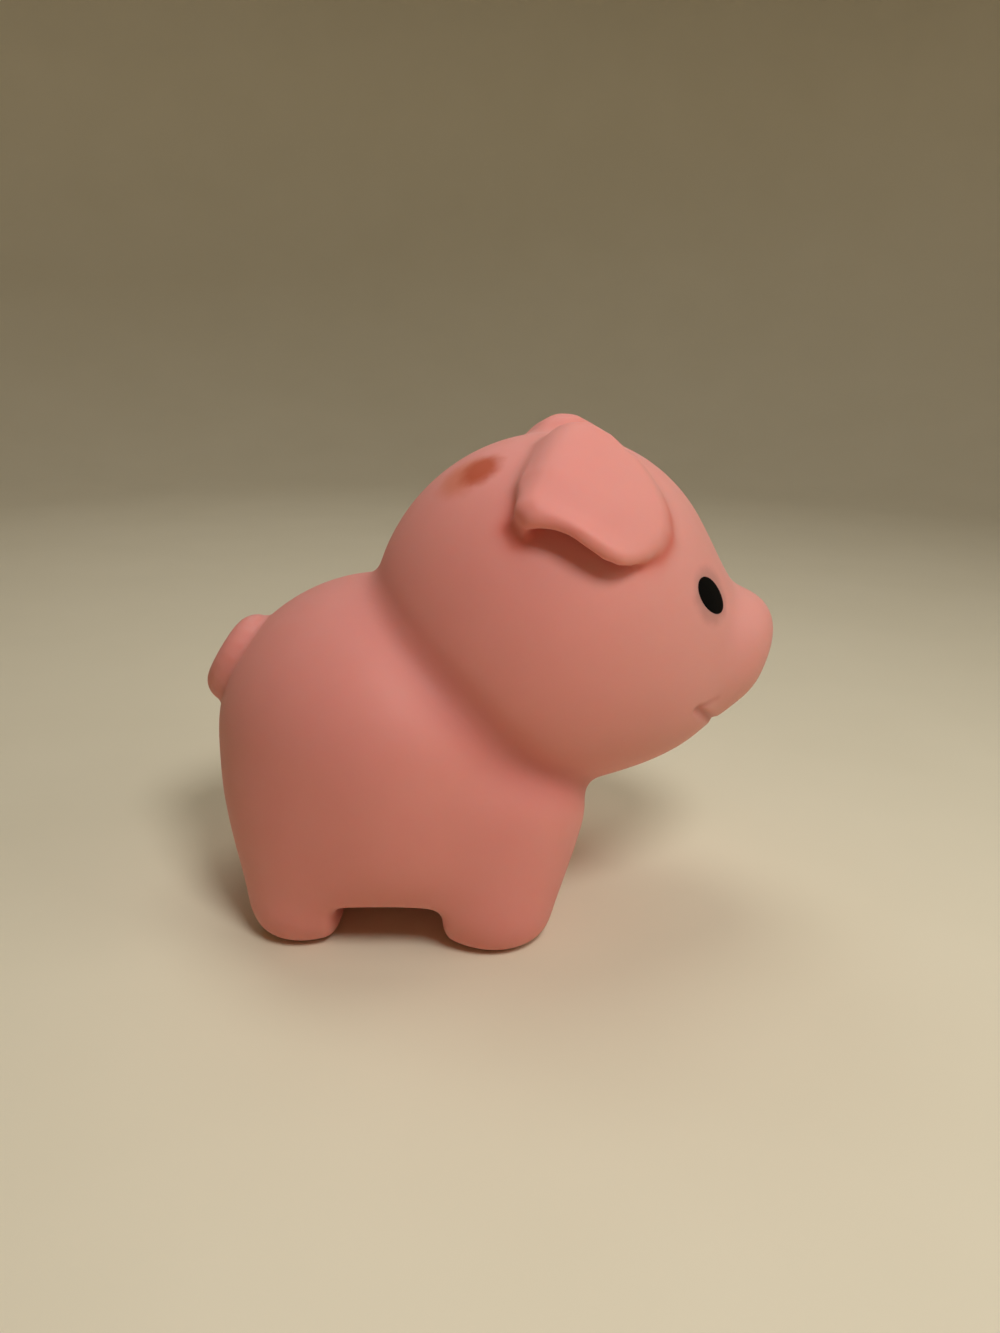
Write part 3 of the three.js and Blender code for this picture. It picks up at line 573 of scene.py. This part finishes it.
eye_tree = bpy.data.node_groups.new("eye_print", "GeometryNodeTree")
eye_sockets = {}
for name, kind in (("Skin", "Object"), ("Centre", "Vector"), ("Facing", "Vector"),
                   ("Half Width", "Vector"), ("Half Height", "Vector"), ("Coat", "Float"),
                   ("Paint", "Material")):
    socket = eye_tree.interface.new_socket(name, in_out="INPUT", socket_type="NodeSocket" + kind)
    eye_sockets[name] = socket.identifier
eye_tree.interface.new_socket("Print", in_out="OUTPUT", socket_type="NodeSocketGeometry")
given = add(eye_tree, "NodeGroupInput").outputs
facing = given["Facing"]
# A ball's points are spread over the oval, in front of the skin, and cast back onto it.
ball = add(eye_tree, "GeometryNodeMeshUVSphere",
           {"Segments": EYE_SEGMENTS, "Rings": EYE_RINGS, "Radius": 1.0})
position = add(eye_tree, "GeometryNodeInputPosition").outputs[0]
spot = add(eye_tree, "ShaderNodeSeparateXYZ", None, {0: position}).outputs
start = given["Centre"]
for reach, share in ((given["Half Width"], spot[0]), (given["Half Height"], spot[1])):
    shift = add(eye_tree, VECTOR_MATH, None, {0: reach, "Scale": share}, operation="SCALE")
    moved = add(eye_tree, VECTOR_MATH, None, {0: start, 1: shift.outputs[0]}, operation="ADD")
    start = moved.outputs[0]
lift = add(eye_tree, VECTOR_MATH, {"Scale": SPRAY_START * MM}, {0: facing}, operation="SCALE")
start = add(eye_tree, VECTOR_MATH, None, {0: start, 1: lift.outputs[0]}, operation="ADD")
inward = add(eye_tree, VECTOR_MATH, {"Scale": -1.0}, {0: facing}, operation="SCALE")
face = add(eye_tree, "GeometryNodeObjectInfo", None, {"Object": given["Skin"]},
           transform_space="RELATIVE")
cast = add(eye_tree, "GeometryNodeRaycast", {"Ray Length": SPRAY_REACH * MM},
           {"Target Geometry": face.outputs["Geometry"], "Source Position": start.outputs[0],
            "Ray Direction": inward.outputs[0]})
# The ball's height becomes the coat's thickness.
depth = add(eye_tree, "ShaderNodeMath", None, {0: spot[2], 1: given["Coat"]}, operation="MULTIPLY")
coat = add(eye_tree, VECTOR_MATH, None, {0: facing, "Scale": depth.outputs[0]}, operation="SCALE")
laid = add(eye_tree, VECTOR_MATH, None, {0: cast.outputs["Hit Position"], 1: coat.outputs[0]},
           operation="ADD")
oval = add(eye_tree, "GeometryNodeSetPosition", None,
           {"Geometry": ball.outputs["Mesh"], "Position": laid.outputs[0]})
oval = add(eye_tree, "GeometryNodeSetShadeSmooth", None, {0: oval.outputs[0]})
oval = add(eye_tree, "GeometryNodeRealizeInstances", None, {0: oval.outputs[0]})
oval = add(eye_tree, "GeometryNodeSetMaterial", None,
           {0: oval.outputs[0], "Material": given["Paint"]})
add(eye_tree, "NodeGroupOutput", None, {0: oval.outputs[0]})

# Satin black vinyl paint: near black, with a faint brushed-out unevenness in its gloss.
eye_paint, tree, place = new_material("satin_black_vinyl_paint")
MOTTLE_SIZE = 0.9
mottle = add(tree, "ShaderNodeTexNoise", {"Scale": 1 / (MOTTLE_SIZE * MM), "Detail": 3.0},
             {"Vector": place})
black = add(tree, "ShaderNodeMix", {MIX_A: linear("#020202"), MIX_B: linear("#060505")},
            {0: mottle.outputs[0]}, data_type="RGBA")
gloss = add(tree, "ShaderNodeMapRange", {"To Min": 0.5, "To Max": 0.62},
            {"Value": mottle.outputs[0]})
skinned = add(tree, "ShaderNodeBump", {"Strength": 0.15, "Distance": 0.03 * MM},
              {"Height": mottle.outputs[0]})
shader = add(tree, "ShaderNodeBsdfPrincipled", {"IOR": 1.48, "Specular IOR Level": 0.06},
             {"Base Color": black.outputs[MIX_OUT], "Roughness": gloss.outputs[0],
              "Normal": skinned.outputs[0]})
add(tree, "ShaderNodeOutputMaterial", None, {"Surface": shader.outputs[0]})

for side_name, side in (("right", -1), ("left", 1)):
    centre = on_skin(HEAD_CENTRE, heading(side * EYE_TURN, EYE_RISE))
    facing = slope(plain_skin, centre[None])[0]
    facing /= length(facing)
    level = np.cross(facing, UP)
    level /= length(level)
    upward = np.cross(level, facing)
    lean = math.radians(-side * EYE_LEAN)
    across = level * math.cos(lean) + upward * math.sin(lean)
    upright = upward * math.cos(lean) - level * math.sin(lean)
    eye = piece("eye_print_" + side_name, [], [])
    made = eye.modifiers.new("eye_print", "NODES")
    made.node_group = eye_tree
    for name, value in (("Skin", vinyl_skin), ("Centre", list(centre * MM)),
                        ("Facing", list(facing)),
                        ("Half Width", list(across * EYE_WIDTH / 2 * MM)),
                        ("Half Height", list(upright * EYE_HEIGHT / 2 * MM)),
                        ("Coat", EYE_COAT * MM), ("Paint", eye_paint)):
        made[eye_sockets[name]] = value
    finished(eye)
    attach(eye, "toy")
    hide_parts("eye_paint_" + side_name)

# Squeaker: a barrel moulded in polypropylene, pushed through the belly hole until its barb springs
# open inside. A grooved half-plug, a thin reed and a wedge are pressed into its bore.
FLANGE_RADIUS, FLANGE_LOW, FLANGE_HIGH = 6.4, 6.5, 7.7
NECK_RADIUS, BARB_RADIUS, BARB_LOW, BARB_HIGH = 4.9, 6.2, 10.7, 12.3
BORE_RADIUS, BARREL_TOP, BARREL_EDGE = 3.5, 19.7, 0.2
PLUG_RADIUS, PLUG_LOW, PLUG_HIGH, PLUG_EDGE = 3.2, 8.0, 19.5, 0.12
GROOVE_DEPTH, GROOVE_HALF_WIDTH, GROOVE_HIGH, GROOVE_OVERRUN = 1.3, 1.0, 17.9, 1
WEDGE_FACE, WEDGE_HIGH = 0.9, 11.0
REED_REAR, REED_FRONT, REED_HALF_WIDTH, REED_HIGH, REED_EDGE = 0.3, 0.6, 1.6, 18.0, 0.04
BEVEL_ANGLE, BEVEL_SEGMENTS = math.radians(30), 3


def softened(obj, width):
    """Moulded edges: every edge but those of the round is rounded off."""
    edges = obj.modifiers.new("edges", "BEVEL")
    edges.width, edges.segments, edges.limit_method = width * MM, BEVEL_SEGMENTS, "ANGLE"
    edges.angle_limit = BEVEL_ANGLE
    edges.harden_normals = False
    finished(obj)
    obj.data.shade_smooth()
    obj.data.set_sharp_from_angle(angle=SHARP_ANGLE)
    return obj


def box_outline(low_x, high_x, half_width):
    """An oblong about the belly hole's upright axis."""
    low_x, high_x = GAP_X + low_x, GAP_X + high_x
    return [(low_x, -half_width), (high_x, -half_width), (high_x, half_width), (low_x, half_width)]


barrel = [(BORE_RADIUS, FLANGE_LOW), (FLANGE_RADIUS, FLANGE_LOW), (FLANGE_RADIUS, FLANGE_HIGH),
          (NECK_RADIUS, FLANGE_HIGH), (NECK_RADIUS, BARB_LOW), (BARB_RADIUS, BARB_LOW),
          (NECK_RADIUS, BARB_HIGH), (NECK_RADIUS, BARREL_TOP), (BORE_RADIUS, BARREL_TOP)]
rings = [[(x, y, z) for x, y in arc(radius, 0, 360)] for radius, z in barrel]
sides = len(rings[0])
barrel_faces = []
for ring, i in product(range(len(rings)), range(sides)):
    here, above, turned = ring * sides, (ring + 1) % len(rings) * sides, (i + 1) % sides
    barrel_faces.append((here + i, here + turned, above + turned, above + i))
housing = softened(piece("squeaker_barrel", np.concatenate(rings), barrel_faces), BARREL_EDGE)

trough = prism("squeaker_half_plug", arc(PLUG_RADIUS, 90, 270), PLUG_LOW, PLUG_HIGH)
groove_outline = box_outline(-GROOVE_DEPTH, GROOVE_DEPTH, GROOVE_HALF_WIDTH)
cut(trough, prism("groove", groove_outline, PLUG_LOW - GROOVE_OVERRUN, GROOVE_HIGH))
softened(trough, PLUG_EDGE)
wedge_half = math.degrees(math.acos(WEDGE_FACE / PLUG_RADIUS))
wedge = prism("squeaker_pin", arc(PLUG_RADIUS, -wedge_half, wedge_half), PLUG_LOW, WEDGE_HIGH)
softened(wedge, PLUG_EDGE)
reed_outline = box_outline(REED_REAR, REED_FRONT, REED_HALF_WIDTH)
reed = softened(prism("squeaker_strip", reed_outline, PLUG_LOW, REED_HIGH), REED_EDGE)

# Moulded polypropylene: waxy off-white, a little cloudy, with the mould's fine satin.
polypropylene, tree, place = new_material("moulded_polypropylene_off_white")
FLOW_SIZE = 2.5
cloudy = add(tree, "ShaderNodeTexNoise", {"Scale": 1 / (FLOW_SIZE * MM), "Detail": 3.0},
             {"Vector": place})
white = add(tree, "ShaderNodeMix", {MIX_A: linear("#ECE7DB"), MIX_B: linear("#E2DCCD")},
            {0: cloudy.outputs[0]}, data_type="RGBA")
satin = add(tree, "ShaderNodeMapRange", {"To Min": 0.36, "To Max": 0.48},
            {"Value": cloudy.outputs[0]})
flow = add(tree, "ShaderNodeBump", {"Strength": 0.2, "Distance": 0.03 * MM},
           {"Height": cloudy.outputs[0]})
shader = add(tree, "ShaderNodeBsdfPrincipled",
             {"IOR": 1.49, "Subsurface Weight": 0.15, "Subsurface Radius": (1.0, 0.9, 0.7),
              "Subsurface Scale": 1 * MM},
             {"Base Color": white.outputs[MIX_OUT], "Roughness": satin.outputs[0],
              "Normal": flow.outputs[0]})
add(tree, "ShaderNodeOutputMaterial", None, {"Surface": shader.outputs[0]})

# Polyester film: a clear grey strip with a smooth sheen and faint streaks along its length.
film, tree, place = new_material("polyester_film_clear_grey")
STREAK_WIDTH, STREAK_STRETCH = 0.4, 0.05
along = add(tree, "ShaderNodeMapping", {"Scale": (1, 1, STREAK_STRETCH)}, {"Vector": place})
streak = add(tree, "ShaderNodeTexNoise", {"Scale": 1 / (STREAK_WIDTH * MM), "Detail": 2.0},
             {"Vector": along.outputs[0]})
grey = add(tree, "ShaderNodeMix", {MIX_A: linear("#D8DDE0"), MIX_B: linear("#C9D0D4")},
           {0: streak.outputs[0]}, data_type="RGBA")
gloss = add(tree, "ShaderNodeMapRange", {"To Min": 0.2, "To Max": 0.32},
            {"Value": streak.outputs[0]})
shader = add(tree, "ShaderNodeBsdfPrincipled", {"IOR": 1.6},
             {"Base Color": grey.outputs[MIX_OUT], "Roughness": gloss.outputs[0]})
add(tree, "ShaderNodeOutputMaterial", None, {"Surface": shader.outputs[0]})

for obj, material, body, node, slot in (
    (housing, polypropylene, "toy", "squeaker_housing", "squeaker_plastic"),
    (trough, polypropylene, "toy", "squeaker_trough", "squeaker_plastic"),
    (reed, film, "reed", "squeaker_reed", "reed_film"),
    (wedge, polypropylene, "toy", "squeaker_wedge", "squeaker_plastic"),
):
    obj.data.materials.clear()
    obj.data.materials.append(material)
    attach(obj, body)
    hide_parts(node)

# Stage: a plain pale paper floor that curves up all round into a plain backdrop, soft lamps, and
# the camera. It stands for no part of the toy.
FLOOR_RADIUS, SWEEP_RADIUS, BACKDROP_HEIGHT = 450, 250, 1200
FLOOR_SIDES, SWEEP_STEPS = 96, 13
sweep = np.linspace(0, math.pi / 2, SWEEP_STEPS)
sweep_out = FLOOR_RADIUS + SWEEP_RADIUS * np.sin(sweep)
sweep_up = SWEEP_RADIUS - SWEEP_RADIUS * np.cos(sweep)
profile = list(zip(sweep_out, sweep_up)) + [(FLOOR_RADIUS + SWEEP_RADIUS, BACKDROP_HEIGHT)]
turns = np.linspace(0, 2 * math.pi, FLOOR_SIDES, endpoint=False)
floor_points = [(r * math.cos(turn), r * math.sin(turn), z) for r, z in profile for turn in turns]
floor_faces = []
for ring, i in product(range(FLOOR_SIDES, len(floor_points), FLOOR_SIDES), range(FLOOR_SIDES)):
    inner, turned = ring - FLOOR_SIDES, (i + 1) % FLOOR_SIDES
    floor_faces.append([ring + i, ring + turned, inner + turned, inner + i])
floor = piece("floor", floor_points, floor_faces + [list(range(FLOOR_SIDES))])
floor.data.shade_smooth()

# Matt backdrop paper: pale and warm, with only a faint cloudiness.
paper, tree, place = new_material("pale_backdrop_paper")
FIBRE_SIZE = 40
fibre = add(tree, "ShaderNodeTexNoise", {"Scale": 1 / (FIBRE_SIZE * MM), "Detail": 2.0},
            {"Vector": place})
pale = add(tree, "ShaderNodeMix", {MIX_A: linear("#ECE0C5"), MIX_B: linear("#E6DABE")},
           {0: fibre.outputs[0]}, data_type="RGBA")
shader = add(tree, "ShaderNodeBsdfPrincipled", {"Roughness": 0.9},
             {"Base Color": pale.outputs[MIX_OUT]})
add(tree, "ShaderNodeOutputMaterial", None, {"Surface": shader.outputs[0]})
floor.data.materials.append(paper)

world = bpy.data.worlds.new("studio")
world.use_nodes = True
air = world.node_tree.nodes["Background"].inputs
air["Color"].default_value, air["Strength"].default_value = (1.0, 0.985, 0.96, 1), 0.03
bpy.context.scene.world = world

# Each lamp's direction from the middle of the toy, its distance and size in millimetres, its power
# in watts and its colour.
LAMP_TARGET = Vector((0, 0, 40 * MM))
for name, direction, distance, size, power, tint in (
    ("key_lamp", (0.28, -0.56, 0.78), 330, 100, 0.545, (0.98, 0.99, 1.0)),
    ("right_lamp", (0.8, -0.2, 0.52), 420, 200, 0.24, (0.98, 0.99, 0.96)),
    ("top_lamp", (0.0, 0.2, 0.98), 420, 200, 0.365, (0.98, 0.99, 0.94)),
    ("back_lamp", (-0.3, 0.6, 0.75), 500, 300, 0.28, (0.98, 0.99, 1.0)),
):
    light = bpy.data.lights.new(name, "AREA")
    light.shape, light.size, light.energy, light.color = "DISK", size * MM, power, tint
    lamp = bpy.data.objects.new(name, light)
    way = Vector(direction).normalized()
    lamp.location = way * (distance * MM) + LAMP_TARGET
    lamp.rotation_euler = way.to_track_quat("Z", "Y").to_euler()
    bpy.context.scene.collection.objects.link(lamp)

# The camera stands where the photograph was taken from, turned, raised and rolled in degrees.
AZIMUTH, ELEVATION, ROLL_ANGLE, DISTANCE = 1.38, 18.92, 0.88, 165.0
TARGET = np.array([2.32, 0, 39.76])
back = -heading(90 + AZIMUTH, -ELEVATION)
right = np.array([math.cos(math.radians(AZIMUTH)), math.sin(math.radians(AZIMUTH)), 0])
above = np.cross(back, right)
c, s = math.cos(math.radians(ROLL_ANGLE)), math.sin(math.radians(ROLL_ANGLE))
axes = np.stack([right * c + above * s, above * c - right * s, back], axis=1)
standpoint = Vector((TARGET + DISTANCE * back) * MM)
camera = bpy.data.objects.new("camera", bpy.data.cameras.new("camera"))
camera.matrix_world = Matrix.Translation(standpoint) @ Matrix(axes.tolist()).to_4x4()
# The frame is 1000 by 1333 pixels and its taller side spans the sensor.
SENSOR, FRAME_WIDTH, FRAME_HEIGHT = 36.0, 1000, 1333
camera.data.sensor_width = SENSOR
camera.data.lens = SENSOR * FRAME_WIDTH / FRAME_HEIGHT
camera.data.clip_start = 10 * MM
bpy.context.scene.collection.objects.link(camera)
bpy.context.scene.camera = camera
bpy.context.scene.view_settings.view_transform = "Standard"
